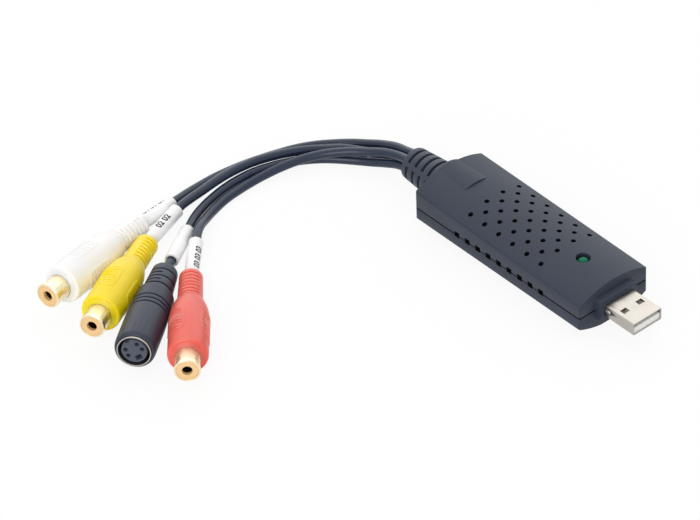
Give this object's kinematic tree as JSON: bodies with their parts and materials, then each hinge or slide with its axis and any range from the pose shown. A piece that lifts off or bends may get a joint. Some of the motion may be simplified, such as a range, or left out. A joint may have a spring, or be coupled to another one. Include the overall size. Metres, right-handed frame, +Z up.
{
  "type": "video capture box",
  "caption": "USB stick with a domed, vented case, a ribbed strain relief and short leads to colour-coded phono sockets and a mini-DIN socket, for analogue video and sound.",
  "frame": {"origin": "middle of the flat foot under the case, at mid length of the case", "axes": "+X along the case towards the plug, +Y across it, +Z up through the crown"},
  "size_m": [0.1535, 0.1448, 0.0173],
  "materials": {
    "case_grey": "fine moulded texture, satin",
    "relief_grey": "matte moulded rubber",
    "lead_black": "satin cable jacket",
    "wire_red": "wire insulation",
    "board_green": "solder mask",
    "chip_black": "matte moulding",
    "can_metal": "satin",
    "chip_tan": "ceramic",
    "light_green": "clear tinted resin",
    "plug_steel": "bright nickel plate",
    "tongue_white": "satin",
    "contact_gold": "gold plate",
    "barrel_gold": "polished gold plate",
    "insulator_tan": "satin",
    "grip_white": "soft gloss",
    "grip_yellow": "soft gloss",
    "grip_red": "soft gloss",
    "grip_black": "satin",
    "ring_silver": "bright nickel plate",
    "core_black": "matte",
    "sleeve_white": "satin heat-shrink"
  },
  "bodies": {
    "root": {"upper_case": "case_grey", "lower_case": "case_grey", "strain_relief": "relief_grey", "lead_stubs": "lead_black", "core_wires": "wire_red", "main_board": "board_green", "capture_chip": "chip_black", "audio_chip": "chip_black", "crystal": "can_metal", "capacitors": "can_metal", "passives": "chip_tan", "status_light": "light_green", "light_legs": "can_metal", "usb_shell": "plug_steel", "usb_tongue": "tongue_white", "usb_contacts": "contact_gold", "white_grip": "grip_white", "white_barrel": "barrel_gold", "white_insulator": "insulator_tan", "white_contact": "contact_gold", "white_sleeve": "sleeve_white", "white_lead": "lead_black", "yellow_grip": "grip_yellow", "yellow_barrel": "barrel_gold", "yellow_insulator": "insulator_tan", "yellow_contact": "contact_gold", "yellow_sleeve": "sleeve_white", "yellow_lead": "lead_black", "red_grip": "grip_red", "red_barrel": "barrel_gold", "red_insulator": "insulator_tan", "red_contact": "contact_gold", "red_sleeve": "sleeve_white", "red_lead": "lead_black", "svideo_grip": "grip_black", "svideo_ring": "ring_silver", "svideo_core": "core_black", "svideo_contacts": "contact_gold", "svideo_sleeve": "sleeve_white", "svideo_lead": "lead_black"}
  },
  "joints": []
}
